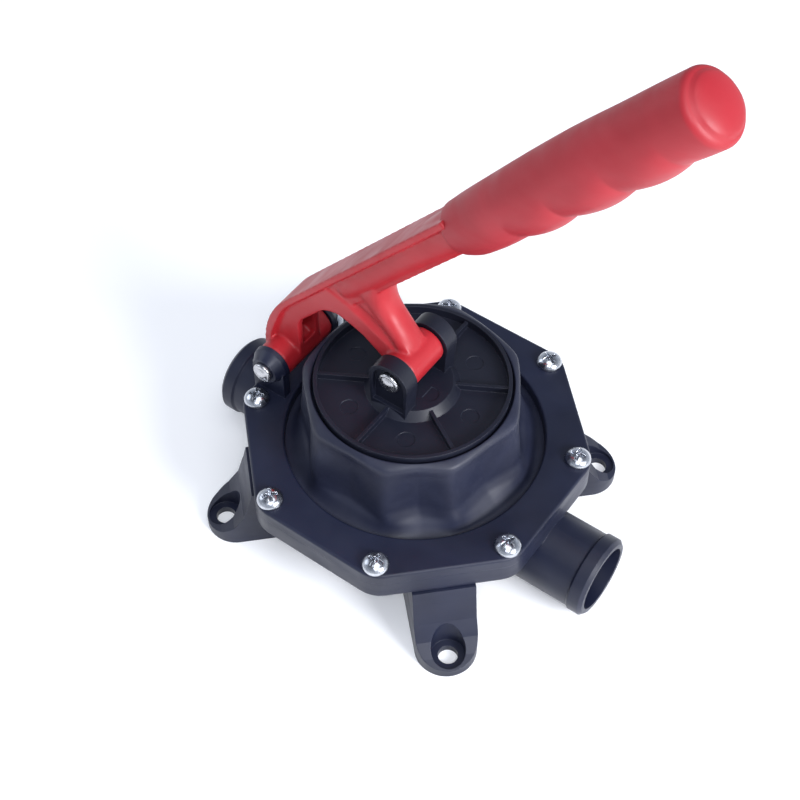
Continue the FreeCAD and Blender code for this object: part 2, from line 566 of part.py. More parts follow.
def lever(doc, size):
    """Handle arm with the fulcrum leg and the yoke leg; drawn along its own slope from the fulcrum."""
    piece = Piece(doc, "lever")
    piece.place(x="-fulcrum_reach", z="fulcrum_level", angle="-lever_slope")
    top, crown = "arm_top", "arch_crown"
    low = f"{top} - arm_depth"
    flange = f"{top} - arm_flange"
    lean_x, lean_y = "leg_reach * cos(lever_slope)", "leg_reach * sin(lever_slope)"
    foot_x, foot_y = "barrel_radius * cos(lever_slope)", "barrel_radius * sin(lever_slope)"
    out, up = "(fulcrum_reach - yoke_offset)", "(yoke_level - fulcrum_level)"
    yoke_x = f"({out} * cos(lever_slope) + {up} * sin(lever_slope))"
    yoke_y = f"({up} * cos(lever_slope) - {out} * sin(lever_slope))"
    strut = f"{yoke_x} - 8.5"

    sketch = piece.sketch("frame_side", "XZ")
    piece.outline(sketch, [
        (f"-{lean_x}", lean_y), (f"-{lean_x} + ({top} - {lean_y}) * tan(lever_slope)", top),
        ("grip_start", top), ("grip_start", flange), (strut, flange), (f"{strut} + 4.4", "8.6"),
        (f"{yoke_x} + 4", yoke_y), (f"{yoke_x} - 7", yoke_y), (f"{yoke_x} - 9", "-8"), (f"{strut} - 7", crown),
        (f"{foot_x} + ({crown} + {foot_y}) * tan(lever_slope)", crown), (foot_x, f"-{foot_y}")])
    piece.pad("frame", sketch, "2 * arm_half", Midplane=True)
    across = lambda edge, height: along(edge, Y_AXIS) and level(edge, height)
    piece.dress("Fillet", "hook_curve", "hook_radius",
                lambda edge: across(edge, size("arm_top")) and edge.BoundBox.XMin < size("grip_start") / 2)
    piece.dress("Fillet", "arch_curve", "arch_radius", lambda edge: across(edge, size("arch_crown")))

    for side, name in ((-1, "near"), (1, "far")):
        sketch = piece.sketch(name + "_panel", "XZ", f"{side} * arm_half")
        piece.outline(sketch, [("-2.5", "7"), ("10", "12.9"), ("21.5", "17.2"), ("28", flange),
                               (f"{yoke_x} + 5", flange),
                               (f"{yoke_x} + 5", f"{yoke_y} - 12"), (f"{yoke_x} - 25", f"{yoke_y} - 12"), ("4", "-8")])
        piece.pocket(name + "_panel_cut", sketch, "arm_half - panel_half", Reversed=side < 0)
    sketch = piece.sketch("leg_hollow", "XZ")
    piece.outline(sketch, [("4", "7.5"), ("12", "11.2"), ("22", "15.2"), ("30", "16.3"), ("44", "16.3"),
                           ("44", "2"), ("22", "-6"), ("8", "0")])
    piece.pocket("leg_hollow_cut", sketch, "2 * hollow_half", Midplane=True)

    sketch = piece.sketch("stem_side", "XZ")
    piece.outline(sketch, [(f"{strut} + 1", f"{flange} + 1"), (f"{strut} + 5", low), ("grip_start", low),
                           ("grip_start", f"{flange} + 1")])
    piece.pad("stem", sketch, "2 * stem_half", Midplane=True)
    back = [(f"{yoke_x} + 30", f"{low} + 2"), (f"{yoke_x} + 17", low), (f"{yoke_x} + 11", "-2"),
            (f"{yoke_x} + 8", yoke_y)]
    for name, thick, front in (("web", "web_half", [(f"{strut} + 5", yoke_y), (f"{strut} + 5", f"{low} + 2")]),
                               ("rib", "rib_half", [(f"{yoke_x} + 5", f"{yoke_y} + 4"), (f"{yoke_x} + 4", "-2"),
                                                    (f"{yoke_x} + 1", f"{low} + 2")])):
        sketch = piece.sketch(name + "_side", "XZ")
        piece.outline(sketch, back + front)
        piece.pad(name, sketch, f"2 * {thick}", Midplane=True)
    for name, x, y in (("fulcrum", "0", "0"), ("yoke", yoke_x, yoke_y)):
        sketch = piece.sketch(name + "_barrel_circle", "XZ")
        piece.circle(sketch, "barrel_radius", x, y)
        piece.pad(name + "_barrel", sketch, f"2 * ({name}_gap - side_play)", Midplane=True)
    axis = f"{top} - arm_depth / 2"
    sketch = piece.sketch("tang_circle", "YZ", "grip_start - 1")
    piece.circle(sketch, "tang_radius", "0", axis)
    piece.pad("tang", sketch, "tang_length + 1")
    for name, x, y in (("fulcrum", "0", "0"), ("yoke", yoke_x, yoke_y)):
        sketch = piece.sketch(name + "_bore_circle", "XZ")
        piece.circle(sketch, "pin_radius + pin_play", x, y)
        piece.bore(name + "_bore", sketch)


def grip(doc):
    """Moulded hand grip over the tang, thicker in the palm and rounded at its end."""
    piece = Piece(doc, "grip")
    piece.place(x="-fulcrum_reach", z="fulcrum_level", angle="-lever_slope")
    axis = "(arm_top - arm_depth / 2)"
    sketch = piece.sketch("grip_section", "XZ")
    piece.axis_line(sketch, ("-1", axis), ("1", axis))
    # along the grip, and its radius there, as shares of grip_length and grip_radius
    shape = ((0, 0.76), (0.06, 0.89), (0.2, 0.985), (0.45, 1.03), (0.7, 1.0), (0.88, 0.99), (0.955, 0.97),
             (0.985, 0.82), (1.0, 0.57))
    points = [("grip_start", axis)]
    points += [(f"grip_start + grip_length * {t}", f"{axis} + grip_radius * {r}") for t, r in shape]
    points += [("grip_start + grip_length * 1.008", axis)]
    piece.outline(sketch, points)
    piece.turned("sleeve", sketch, axis="Axis0")
    sketch = piece.sketch("tang_hole_circle", "YZ", "grip_start")
    piece.circle(sketch, "tang_radius", "0", axis)
    piece.pocket("tang_hole", sketch, "tang_length", Reversed=True)


def headed_pin(doc, name, x, z, reach):
    """Round pin along Y with a domed head on the near side and a groove for its clip."""
    piece = Piece(doc, name)
    piece.place(x=x, z=z, axis="vector(1; 0; 0)", angle="90")
    tail, groove, seat = f"-({reach}) - pin_tail", f"-({reach}) - clip_start", f"{reach} + 0.1"
    neck = "pin_radius - clip_depth"
    sketch = piece.sketch("pin_profile", "XZ")
    # the head's dome, as shares of its radius and height
    dome = [(f"pin_head * {r}", f"{seat} + pin_rise * {h}") for r, h in ((1, 0.33), (0.86, 0.67), (0.5, 0.91))]
    piece.outline(sketch, [
        ("0", tail), ("pin_radius - pin_chamfer", tail), ("pin_radius", f"{tail} + pin_chamfer"),
        ("pin_radius", f"{groove} - clip_groove"), (neck, f"{groove} - clip_groove"), (neck, groove),
        ("pin_radius", groove), ("pin_radius", seat), ("pin_head", seat), *dome, ("0", f"{seat} + pin_rise")])
    piece.turned("pin", sketch)


def pin_clip(doc, name, x, z, reach):
    """Snap ring in the groove of a pin."""
    piece = Piece(doc, name)
    piece.place(x=x, z=z, axis="vector(1; 0; 0)", angle="90")
    low = f"-({reach}) - clip_start - clip_thick - 0.05"
    sketch = piece.sketch("clip_plan", "XY", low)
    piece.circle(sketch, "pin_radius + clip_wide")
    piece.circle(sketch, "pin_radius - clip_depth + 0.05")
    piece.pad("clip", sketch, "clip_thick")
    sketch = piece.sketch("clip_mouth", "XY", f"{low} + clip_thick")
    piece.outline(sketch, [("-1.6", "0"), ("1.6", "0"), ("2.6", "pin_radius + clip_wide + 1"),
                           ("-2.6", "pin_radius + clip_wide + 1")])
    piece.pocket("mouth", sketch, "clip_thick")


def valve_seat(doc, name, face):
    """Ring that a flap closes on, pressed into its pocket; face is the end nearer the inlet."""
    piece = Piece(doc, name)
    piece.place(x=face, z="spigot_level", angle="90")
    sketch = piece.sketch("section", "XZ")
    piece.outline(sketch, [("seat_opening", "0"), ("pocket_radius", "0"), ("pocket_radius", "groove_start"),
                           ("pocket_radius - seat_groove", "groove_start"),
                           ("pocket_radius - seat_groove", "groove_start + groove_wide"),
                           ("pocket_radius", "groove_start + groove_wide"),
                           ("pocket_radius", "seat_thick"), ("seat_opening", "seat_thick")])
    piece.turned("seat", sketch)
    sketch = piece.sketch("screw_hole_circles", "XY", "seat_thick")
    for side in (-1, 1):
        piece.circle(sketch, "bar_screw", f"-({BAR_FOOT} + bar_rise / 2)", f"{side} * bar_screw_reach")
    piece.pocket("screw_holes", sketch, "seat_thick * 0.7")
    sketch = piece.sketch("bar_plan", "XY")
    end = "(seat_opening + 1)"
    piece.outline(sketch, [("-seat_bar_half", f"-{end}"), ("seat_bar_half", f"-{end}"), ("seat_bar_half", end),
                           ("-seat_bar_half", end)])
    piece.pad("bar", sketch, "seat_thick")


def seat_seal(doc, name, face):
    """O-ring in the groove of a valve seat."""
    ring = doc.addObject("Part::Torus", name)
    ring.Label = name
    ring.setExpression("Radius1", bound("pocket_radius - seat_groove / 2"))
    ring.setExpression("Radius2", bound("seal_wire"))
    middle = bound(f"vector({face} + groove_start + groove_wide / 2; 0; spigot_level)")
    ring.setExpression("Placement", f"placement({middle}; rotation(vector(0; 1; 0); 90))")


def valve_flap(doc, name, face):
    """Rubber disc that hangs from a bead along its hinge line."""
    piece = Piece(doc, name)
    sketch = piece.sketch("disc_circle", "YZ", f"{face} + flap_gap")
    piece.circle(sketch, "flap_radius", "0", "spigot_level")
    piece.pad("disc", sketch, "flap_thick")
    sketch = piece.sketch("hinge_cut_side", "YZ", face)
    low, high = "spigot_level + hinge_rise", "spigot_level + flap_radius + 1"
    piece.outline(sketch, [("-flap_radius", low), ("flap_radius", low), ("flap_radius", high),
                           ("-flap_radius", high)])
    piece.pocket("hinge_cut", sketch, "flap_thick + 2 * flap_gap", Reversed=True)
    sketch = piece.sketch("bead_circle", "XZ")
    piece.circle(sketch, "hinge_bead", f"{face} + flap_gap + hinge_bead", low)
    piece.pad("bead", sketch, "2 * hinge_bead_half", Midplane=True)


def flap_clamp(doc, name, face):
    """Bar over a flap's bead, screwed to the seat."""
    piece = Piece(doc, name)
    piece.place(x=face, z=f"spigot_level + {BAR_FOOT}")
    sketch = piece.sketch("bar_front", "YZ")
    piece.outline(sketch, [("-bar_half", "0"), ("bar_half", "0"), ("bar_half", "bar_rise"),
                           ("-bar_half", "bar_rise")])
    piece.pad("bar", sketch, "bar_thick")
    sketch = piece.sketch("screw_hole_circles", "YZ")
    for side in (-1, 1):
        piece.circle(sketch, "bar_screw", f"{side} * bar_screw_reach", "bar_rise / 2")
    piece.bore("screw_holes", sketch)


def bar_screws(doc, name, face):
    """The two small screws of a flap's bar, along X, as separate solids."""
    piece = Piece(doc, name)
    piece.place(x=f"{face} + bar_thick", z=f"spigot_level + {BAR_FOOT} + bar_rise / 2")
    for part, radius, start, length in (("shanks", "bar_screw", "-bar_thick - seat_thick * 0.67",
                                         "bar_thick + seat_thick * 0.7"),
                                        ("heads", "bar_screw * 1.6", "0", "bar_screw")):
        sketch = piece.sketch(part + "_circles", "YZ", start)
        for side in (-1, 1):
            piece.circle(sketch, radius, f"{side} * bar_screw_reach", "0")
        piece.pad(part, sketch, length)


def check_and_write(doc):
    """Every object sound, every piece a valid shape, then one STEP file for each piece."""
    doc.recompute()
    for thing in doc.Objects:
        if {"Invalid", "Error"} & set(thing.State):
            raise RuntimeError(f"{thing.Name} failed: {thing.State}")
    pieces = [thing for thing in doc.Objects if thing.TypeId == "PartDesign::Body"]
    pieces += [thing for thing in doc.Objects if thing.TypeId == "Part::Torus"]
    for thing in pieces:
        if thing.Shape.isNull() or not thing.Shape.isValid():
            raise RuntimeError(f"{thing.Label} has no valid shape")
    os.makedirs("parts", exist_ok=True)
    for thing in pieces:
        thing.Shape.exportStep(f"parts/{thing.Label}.step")
        print(f"{thing.Label}: {len(thing.Shape.Solids)} solid(s), {thing.Shape.Volume:.0f} mm3")


def main():
    doc = FreeCAD.newDocument("BilgePump")
    sheet = make_sheet(doc)
    size = lambda alias: getattr(sheet, alias)
    pump_body(doc, size)
    clamp_ring(doc, size)
    pan_screws(doc, "flange_screws", "screw_circle", SCREW_COUNT,
               ("screw_shank", "screw_head", "screw_rise", "screw_length"), "(joint_level + ring_thick)", True)
    under = "(plate_rim_level - plate_depth - plate_thick - rubber_thick - stroke_gap - clamp_thick)"
    pan_screws(doc, "plate_screws", "plate_screw_circle", PLATE_SCREW_COUNT,
               ("plate_screw", "plate_screw_head", "plate_screw_rise", "plate_screw_length"), under, False,
               shift="-yoke_offset")
    diaphragm(doc)
    top_plate(doc)
    clamp_plate(doc)
    lever(doc, size)
    grip(doc)
    fulcrum = ("-fulcrum_reach", "fulcrum_level", "fulcrum_gap + ear_length")
    yoke = ("-yoke_offset", "yoke_level", "yoke_gap + yoke_ear_thick")
    headed_pin(doc, "fulcrum_pin", *fulcrum)
    headed_pin(doc, "yoke_pin", *yoke)
    pin_clip(doc, "fulcrum_clip", *fulcrum)
    pin_clip(doc, "yoke_clip", *yoke)
    for name, seat_face, flap_face in (("inlet", "-valve_face - seat_thick", "-valve_face"),
                                       ("outlet", "valve_face", "valve_face + seat_thick")):
        valve_seat(doc, name + "_seat", seat_face)
        seat_seal(doc, name + "_seat_seal", seat_face)
        valve_flap(doc, name + "_flap", flap_face)
        flap_clamp(doc, name + "_flap_bar", flap_face)
        bar_screws(doc, name + "_bar_screws", flap_face)
    check_and_write(doc)


main()
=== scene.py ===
"""Manual diaphragm bilge pump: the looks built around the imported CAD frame. Metres, row frame."""
import json
import math

import bmesh
import bpy
import numpy as np
from mathutils import Matrix, Vector


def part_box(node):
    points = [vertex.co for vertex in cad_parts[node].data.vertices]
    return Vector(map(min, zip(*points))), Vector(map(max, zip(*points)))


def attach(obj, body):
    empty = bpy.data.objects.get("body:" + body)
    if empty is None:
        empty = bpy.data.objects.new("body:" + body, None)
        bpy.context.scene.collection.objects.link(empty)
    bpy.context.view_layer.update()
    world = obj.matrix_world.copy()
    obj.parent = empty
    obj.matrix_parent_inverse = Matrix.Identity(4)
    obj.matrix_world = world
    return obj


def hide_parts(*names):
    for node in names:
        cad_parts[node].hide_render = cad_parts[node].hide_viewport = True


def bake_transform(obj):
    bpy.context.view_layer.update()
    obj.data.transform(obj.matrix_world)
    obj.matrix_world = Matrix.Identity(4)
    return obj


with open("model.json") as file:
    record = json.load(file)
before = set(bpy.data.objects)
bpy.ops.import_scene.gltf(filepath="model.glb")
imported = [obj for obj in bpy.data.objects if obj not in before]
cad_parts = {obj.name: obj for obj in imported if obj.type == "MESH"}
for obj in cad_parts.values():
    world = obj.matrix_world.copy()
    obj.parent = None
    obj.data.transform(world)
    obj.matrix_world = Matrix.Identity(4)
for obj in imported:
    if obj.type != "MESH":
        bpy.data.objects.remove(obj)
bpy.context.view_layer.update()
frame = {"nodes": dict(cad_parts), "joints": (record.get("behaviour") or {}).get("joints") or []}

MM = 0.001
NODES = frame["nodes"]
JOINTS = {joint["name"]: joint for joint in frame["joints"]}
FULCRUM = Vector(JOINTS["lever_swing"]["pos_m"])
YOKE = Vector(JOINTS["plate_tilt"]["pos_m"])

# the lever's own frame: along its handle, square to it in the plane of its swing, and across
LEVER_SLOPE = math.radians(49.5)
ALONG = Vector((math.cos(LEVER_SLOPE), 0, math.sin(LEVER_SLOPE)))
ABOVE = Vector((-math.sin(LEVER_SLOPE), 0, math.cos(LEVER_SLOPE)))
ACROSS = Vector((0, 1, 0))
HANDLE_LINE = 13.7 * MM        # middle of the handle over the fulcrum, square to it


# ---------------------------------------------------------------- meshes

def make_piece(name, points, faces, smooth=True):
    """A mesh object from points and faces, with its normals outwards."""
    mesh = bpy.data.meshes.new(name)
    mesh.from_pydata([tuple(point) for point in points], [], faces)
    builder = bmesh.new()
    builder.from_mesh(mesh)
    bmesh.ops.remove_doubles(builder, verts=builder.verts, dist=1e-7)
    bmesh.ops.recalc_face_normals(builder, faces=builder.faces)
    builder.to_mesh(mesh)
    builder.free()
    for polygon in mesh.polygons:
        polygon.use_smooth = smooth
    piece = bpy.data.objects.new(name, mesh)
    bpy.context.scene.collection.objects.link(piece)
    return piece


def loft(rings, closed_ends=True):
    """Points and faces of a skin over rings that all have the same number of points."""
    count = len(rings[0])
    points = [point for ring in rings for point in ring]
    faces = []
    for row in range(len(rings) - 1):
        for k in range(count):
            after = (k + 1) % count
            faces.append((row * count + k, row * count + after,
                          (row + 1) * count + after, (row + 1) * count + k))
    if closed_ends:
        for row in (0, len(rings) - 1):
            middle = sum((Vector(point) for point in rings[row]), Vector()) / count
            points.append(middle)
            hub = len(points) - 1
            faces += [(row * count + k, row * count + (k + 1) % count, hub) for k in range(count)]
    return points, faces


def turned(profile, base, axis, sideways, count=64):
    """Points and faces of a profile of (height, radius) pairs turned about an axis through base."""
    other = axis.cross(sideways)
    rings = []
    for height, radius in profile:
        ring = []
        for k in range(count):
            turn = math.tau * k / count
            ring.append(base + axis * height + (sideways * math.cos(turn) + other * math.sin(turn)) * radius)
        rings.append(ring)
    return loft(rings)


def arc(centre, radius, start, end, steps):
    """Points of an arc, as pairs; angles in degrees."""
    turns = np.radians(np.linspace(start, end, steps))
    return [(centre[0] + radius * math.cos(t), centre[1] + radius * math.sin(t)) for t in turns]


def smoothed(knots, values):
    """A smooth curve through the values at the knots."""
    knots, values = np.array(knots, float), np.array(values, float)
    slopes = np.gradient(values, knots)

    def curve(at):
        k = int(np.clip(np.searchsorted(knots, at) - 1, 0, len(knots) - 2))
        span = knots[k + 1] - knots[k]
        t = float(np.clip((at - knots[k]) / span, 0, 1))
        rise = 3 * t ** 2 - 2 * t ** 3
        return float(values[k] * (1 - rise) + values[k + 1] * rise
                     + span * (slopes[k] * t * (1 - t) ** 2 - slopes[k + 1] * t ** 2 * (1 - t)))
    return curve


def smoothstep(value, low, high):
    """0 below low, 1 above high and an even rise between them."""
    t = min(1.0, max(0.0, (value - low) / (high - low)))
    return t * t * (3 - 2 * t)


def fused(name, parts, voxel, passes):
    """One moulding: closed meshes fused into one skin, with every edge and inner corner softened."""
    builder = bmesh.new()
    for part in parts:
        builder.from_mesh(part)
    bmesh.ops.remove_doubles(builder, verts=builder.verts, dist=1e-6)
    mesh = bpy.data.meshes.new(name)
    builder.to_mesh(mesh)
    builder.free()
    rough = bpy.data.objects.new(name + "_rough", mesh)
    bpy.context.scene.collection.objects.link(rough)
    remesh = rough.modifiers.new("skin", "REMESH")
    remesh.mode = "VOXEL"
    remesh.voxel_size = voxel
    soften = rough.modifiers.new("soften", "SMOOTH")
    soften.factor = 0.5
    soften.iterations = passes
    graph = bpy.context.evaluated_depsgraph_get()
    final = bpy.data.meshes.new_from_object(rough.evaluated_get(graph))
    bpy.data.objects.remove(rough)
    final.materials.clear()
    for polygon in final.polygons:
        polygon.use_smooth = True
    piece = bpy.data.objects.new(name, final)
    bpy.context.scene.collection.objects.link(piece)
    return piece


# ---------------------------------------------------------------- materials

class Finish:
    """A Principled material whose colour, roughness and relief come from procedural nodes."""

    def __init__(self, name, **sockets):
        self.material = bpy.data.materials.new(name)
        self.material.use_nodes = True
        self.tree = self.material.node_tree
        self.shader = self.tree.nodes["Principled BSDF"]
        for socket, value in sockets.items():
            self.shader.inputs[socket.replace("_", " ")].default_value = value
        self.place = self.node("ShaderNodeTexCoord").outputs["Object"]
        self.normal = None

    def node(self, kind, **settings):
        node = self.tree.nodes.new(kind)
        for key, value in settings.items():
            setattr(node, key, value)
        return node

    def join(self, source, target):
        self.tree.links.new(source, target)

    def noise(self, scale, detail=3.0, stretch=(1, 1, 1), distortion=0.0):
        """Noise in the object's own space; scale is features per metre."""
        mapping = self.node("ShaderNodeMapping")
        mapping.inputs["Scale"].default_value = stretch
        self.join(self.place, mapping.inputs["Vector"])
        noise = self.node("ShaderNodeTexNoise")
        noise.inputs["Scale"].default_value = scale
        noise.inputs["Detail"].default_value = detail
        noise.inputs["Distortion"].default_value = distortion
        self.join(mapping.outputs["Vector"], noise.inputs["Vector"])
        return noise.outputs["Fac"]

    def spread(self, source, low, high, start=0.35, end=0.65):
        """The source's range from start to end, stretched to low .. high."""
        node = self.node("ShaderNodeMapRange")
        for socket, value in (("From Min", start), ("From Max", end), ("To Min", low), ("To Max", high)):
            node.inputs[socket].default_value = value
        self.join(source, node.inputs["Value"])
        return node.outputs["Result"]

    def shades(self, factor, first, second):
        """A colour between two by a factor; either may be a socket."""
        node = self.node("ShaderNodeMix", data_type="RGBA")
        self.join(factor, node.inputs[0])
        for socket, colour in ((node.inputs[6], first), (node.inputs[7], second)):
            if isinstance(colour, tuple):
                socket.default_value = (*colour, 1)
            else:
                self.join(colour, socket)
        return node.outputs[2]

    def relief(self, height, distance, strength=1.0):
        """A bump, on top of the ones before it."""
        bump = self.node("ShaderNodeBump")
        bump.inputs["Strength"].default_value = strength
        bump.inputs["Distance"].default_value = distance
        self.join(height, bump.inputs["Height"])
        if self.normal is not None:
            self.join(self.normal, bump.inputs["Normal"])
        self.normal = bump.outputs["Normal"]

    def eased_edges(self, radius):
        """Softened edges: gives back a mask that is 1 along them."""
        bevel = self.node("ShaderNodeBevel", samples=4)
        bevel.inputs["Radius"].default_value = radius
        facing = self.node("ShaderNodeVectorMath", operation="DOT_PRODUCT")
        self.join(bevel.outputs["Normal"], facing.inputs[0])
        self.join(self.node("ShaderNodeNewGeometry").outputs["Normal"], facing.inputs[1])
        self.normal = bevel.outputs["Normal"]
        return self.spread(facing.outputs["Value"], 1.0, 0.0, 0.82, 0.995)

    def done(self, colour=None, roughness=None):
        for source, socket in ((colour, "Base Color"), (roughness, "Roughness"), (self.normal, "Normal")):
            if source is not None:
                self.join(source, self.shader.inputs[socket])
        return self.material


def moulded(name, deep, pale, worn_and_lit, roughness, grain, edge=0.5 * MM, **sockets):
    """Moulded plastic: flow mottling, a fine grain, scuffs in its gloss, and edges lightened in patches, partly
    rubbed wear and partly a painted edge highlight.
    """
    finish = Finish(name, **sockets)
    rubbed_and_lit_edges = finish.eased_edges(edge)
    mottle = finish.spread(finish.noise(26, 4.0, distortion=0.6), 0, 1)
    colour = finish.shades(mottle, deep, pale)
    patchy = finish.spread(finish.noise(300, 3.0), 0.0, 0.5)
    # painted edge highlight: the pale colour laid in patches along the edges stands partly for rubbed wear and
    # partly for light caught on the rounded edges
    wear_and_edge_highlight = finish.node("ShaderNodeMath", operation="MULTIPLY")
    finish.join(rubbed_and_lit_edges, wear_and_edge_highlight.inputs[0])
    finish.join(patchy, wear_and_edge_highlight.inputs[1])
    colour = finish.shades(wear_and_edge_highlight.outputs[0], colour, worn_and_lit)
    gloss = finish.spread(finish.noise(55, 5.0, stretch=(1, 1, 2.5)), roughness - 0.05, roughness + 0.07)
    finish.relief(finish.noise(2600, 2.0), grain)
    finish.relief(finish.noise(70, 2.0), 0.05 * MM, 0.6)
    return finish.done(colour, gloss)


def rubber(name, deep, pale, roughness, grain):
    """Satin rubber: faint bloom and a soft, slightly uneven surface."""
    finish = Finish(name, Specular_IOR_Level=0.42)
    bloom = finish.spread(finish.noise(38, 5.0, distortion=1.2), 0, 1)
    colour = finish.shades(bloom, deep, pale)
    gloss = finish.spread(finish.noise(90, 4.0), roughness - 0.05, roughness + 0.08)
    finish.relief(finish.noise(1900, 3.0), grain)
    finish.relief(finish.noise(48, 1.0), 0.18 * MM, 0.5)
    return finish.done(colour, gloss)


def plated(name, deep, pale, roughness, drawn=(1, 1, 1), **sockets):
    """Bright metal: cloudy tone, fine scratches and a slightly uneven polish."""
    finish = Finish(name, Metallic=1.0, **sockets)
    cloud = finish.spread(finish.noise(260, 4.0, distortion=0.8), 0, 1)
    colour = finish.shades(cloud, deep, pale)
    gloss = finish.spread(finish.noise(700, 3.0, stretch=drawn), roughness - 0.04, roughness + 0.08)
    finish.relief(finish.noise(300, 2.0, stretch=drawn), 0.01 * MM, 0.06)
    return finish.done(colour, gloss)


# the third colour of each moulded finish goes along its edges: partly rubbed wear, partly a painted edge highlight
HOUSING = moulded("housing_black", (0.0060, 0.0080, 0.0210), (0.0100, 0.0130, 0.0320), (0.048, 0.058, 0.100),
                  0.42, 0.012 * MM, Specular_IOR_Level=0.42)
PLATE = moulded("plate_black", (0.0050, 0.0060, 0.0130), (0.0085, 0.0100, 0.0200), (0.040, 0.047, 0.075),
                0.44, 0.008 * MM, Specular_IOR_Level=0.36)
LEVER_RED = moulded("lever_red", (0.330, 0.010, 0.016), (0.390, 0.016, 0.023), (0.470, 0.064, 0.074),
                    0.42, 0.012 * MM, Specular_IOR_Level=0.42)
GRIP_RED = moulded("grip_red", (0.290, 0.010, 0.017), (0.350, 0.016, 0.025), (0.430, 0.060, 0.072),
                   0.48, 0.020 * MM, Specular_IOR_Level=0.40)
DIAPHRAGM_RUBBER = rubber("diaphragm_rubber", (0.0090, 0.0112, 0.0270), (0.0140, 0.0170, 0.0370), 0.50, 0.010 * MM)
VALVE_RUBBER = rubber("valve_rubber", (0.012, 0.012, 0.013), (0.020, 0.020, 0.022), 0.55, 0.014 * MM)
ZINC = plated("screw_zinc", (0.42, 0.44, 0.48), (0.60, 0.62, 0.66), 0.20)
STEEL = plated("pin_steel", (0.44, 0.44, 0.46), (0.58, 0.58, 0.60), 0.24, drawn=(1, 6, 1))
ACETAL = moulded("valve_acetal", (0.50, 0.50, 0.47), (0.60, 0.60, 0.57), (0.72, 0.72, 0.70), 0.42, 0.010 * MM)


def finish_piece(piece, material, body=None):
    piece.data.materials.clear()
    piece.data.materials.append(material)
    if body:
        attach(piece, body)
    return piece


# ---------------------------------------------------------------- diaphragm

SKIRT_CORNERS = (-157, -111, -68, -35, 10, 56, 102, 150, 203)     # azimuths in degrees, back to the first
SKIRT_ROWS = (
    # height, radius in the middle of a facet, radius at a corner, all in mm
    (79.80, 16.0, 16.0), (79.80, 28.0, 28.0), (79.80, 37.0, 37.0), (79.90, 41.5, 41.5), (80.70, 44.2, 44.2),
    (83.00, 44.7, 44.7), (84.70, 44.8, 44.8), (85.40, 45.2, 45.3), (85.20, 45.8, 46.4), (84.60, 46.5, 47.8),
    (83.90, 47.0, 48.9), (82.90, 47.3, 49.6), (81.20, 47.2, 50.0), (78.00, 46.7, 50.2), (73.00, 46.4, 50.7),
    (67.50, 46.3, 51.3), (62.00, 46.4, 51.9), (58.00, 46.8, 52.4), (55.00, 47.4, 52.9), (52.50, 48.4, 53.4),
    (50.30, 50.6, 54.0), (48.40, 52.4, 54.8), (47.10, 54.0, 55.8), (46.30, 55.6, 57.0), (46.00, 58.0, 58.6),
    (46.00, 62.0, 62.0), (46.00, 67.5, 67.5))
CORNER_SOFTNESS = math.radians(3.5)
SKIRT_FOOT, SKIRT_TOP = 50, 76          # heights between which the skirt hangs free, mm
PLATE_OFFSET = -1.5                     # the plate's middle, along X, mm
SAG = 0.35                              # how far the free skirt wanders in and out, mm
SKIN_WALL = 1.6 * MM


def corner_share(turn):
    """0 in the middle of a facet of the skirt and 1 at its softened corners."""
    azimuth = (math.degrees(turn) - SKIRT_CORNERS[0]) % 360 + SKIRT_CORNERS[0]
    for start, end in zip(SKIRT_CORNERS, SKIRT_CORNERS[1:]):
        if azimuth < end:
            break
    half = math.radians(end - start) / 2
    off = math.radians(min(azimuth - start, end - azimuth))
    eased = math.sqrt(off * off + CORNER_SOFTNESS ** 2) - CORNER_SOFTNESS
    return (1 / math.cos(half - eased) - 1) / (1 / math.cos(half) - 1)


def diaphragm_skin():
    """Rubber cup drawn up by the plate: an octagonal tent over a foot that rolls out to the rim."""
    knots = range(len(SKIRT_ROWS))
    height, middle, corner = (smoothed(knots, [row[k] for row in SKIRT_ROWS]) for k in range(3))
    count = 360
    shares = [corner_share(math.tau * k / count) for k in range(count)]
    rings = []
    for at in np.linspace(0, len(SKIRT_ROWS) - 1, 110):
        drawn = float(np.clip((height(at) - SKIRT_FOOT) / (SKIRT_TOP - SKIRT_FOOT), 0, 1))
        ring = []
        for k, share in enumerate(shares):
            turn = math.tau * k / count
            radius = middle(at) * (1 - share) + corner(at) * share
            radius += SAG * math.sin(math.pi * drawn) * math.sin(3 * turn + 0.7)
            shift = PLATE_OFFSET * smoothstep(drawn, 0.03, 0.32)
            ring.append(Vector((math.cos(turn) * radius + shift, math.sin(turn) * radius, height(at))) * MM)
        rings.append(ring)
    points, faces = loft(rings, closed_ends=False)
    piece = make_piece("diaphragm_skin", points, faces)
    crown = 80 * MM
    if sum(face.normal.z for face in piece.data.polygons if face.center.z > crown) < 0:
        piece.data.flip_normals()
    thickness = piece.modifiers.new("thickness", "SOLIDIFY")
    thickness.thickness = SKIN_WALL
    thickness.offset = -1
    apply_modifiers(piece)
    finish_piece(piece, DIAPHRAGM_RUBBER)
    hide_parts("diaphragm")
    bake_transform(piece)


def apply_modifiers(piece):
    graph = bpy.context.evaluated_depsgraph_get()
    final = bpy.data.meshes.new_from_object(piece.evaluated_get(graph))
    piece.modifiers.clear()
    piece.data = final
    for polygon in final.polygons:
        polygon.use_smooth = True


# ---------------------------------------------------------------- lever and grip

def handle_ring(station, section, count):
    """A ring of points about the handle's line; section gives the radius at an angle from the top."""
    middle = FULCRUM + ALONG * station + ABOVE * HANDLE_LINE
    ring = []
    for k in range(count):
        turn = math.tau * k / count
        ring.append(middle + (ABOVE * math.cos(turn) + ACROSS * math.sin(turn)) * section(turn))
    return ring


def lever_point(along, above, across):
    """A point in the lever's own frame, in mm from the fulcrum."""
    return FULCRUM + (ALONG * along + ABOVE * above + ACROSS * across) * MM


def rounded(wide, tall, power=2.5):
    """Radius of a rounded box at an angle from its top."""
    return lambda turn: (abs(math.cos(turn) / tall) ** power + abs(math.sin(turn) / wide) ** power) ** (-1 / power)


